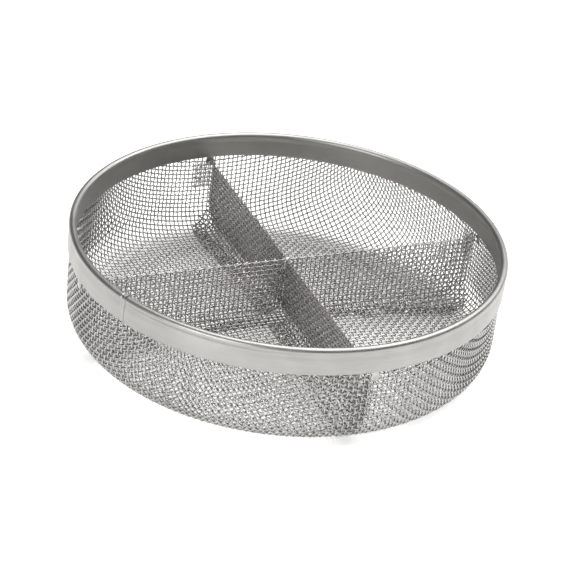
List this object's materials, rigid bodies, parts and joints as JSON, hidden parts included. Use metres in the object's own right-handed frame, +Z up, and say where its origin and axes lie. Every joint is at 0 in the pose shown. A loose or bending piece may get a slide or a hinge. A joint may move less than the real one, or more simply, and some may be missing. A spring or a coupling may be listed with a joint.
{
  "type": "compartment mesh basket",
  "caption": "Shallow round woven-wire sieve basket with a folded steel rim and crossed mesh dividers that part it into quarters.",
  "frame": {"origin": "centre of the bowl, at the height of the ring it stands on", "axes": "+Z up along the bowl's axis, X along the cross divider, Y along the long divider, whose top edge shows the cut wire ends"},
  "size_m": [0.1, 0.1, 0.0254],
  "materials": {
    "rim_steel": "satin rolled stainless strip with fine lines along the rim",
    "bowl_cloth": "plain-weave stainless wire",
    "divider_cloth": "plain-weave stainless wire, a little darker",
    "weld": "dull grey weld metal"
  },
  "bodies": {
    "root": {"rim_channel": "rim_steel", "rim_seam_weld": "weld", "mesh_bowl": "bowl_cloth", "long_divider": "divider_cloth", "cross_divider": "divider_cloth", "hub_weld": "weld", "tab_spot_welds": "weld", "flange_spot_welds": "weld", "rim_tack_welds": "weld"}
  },
  "joints": []
}
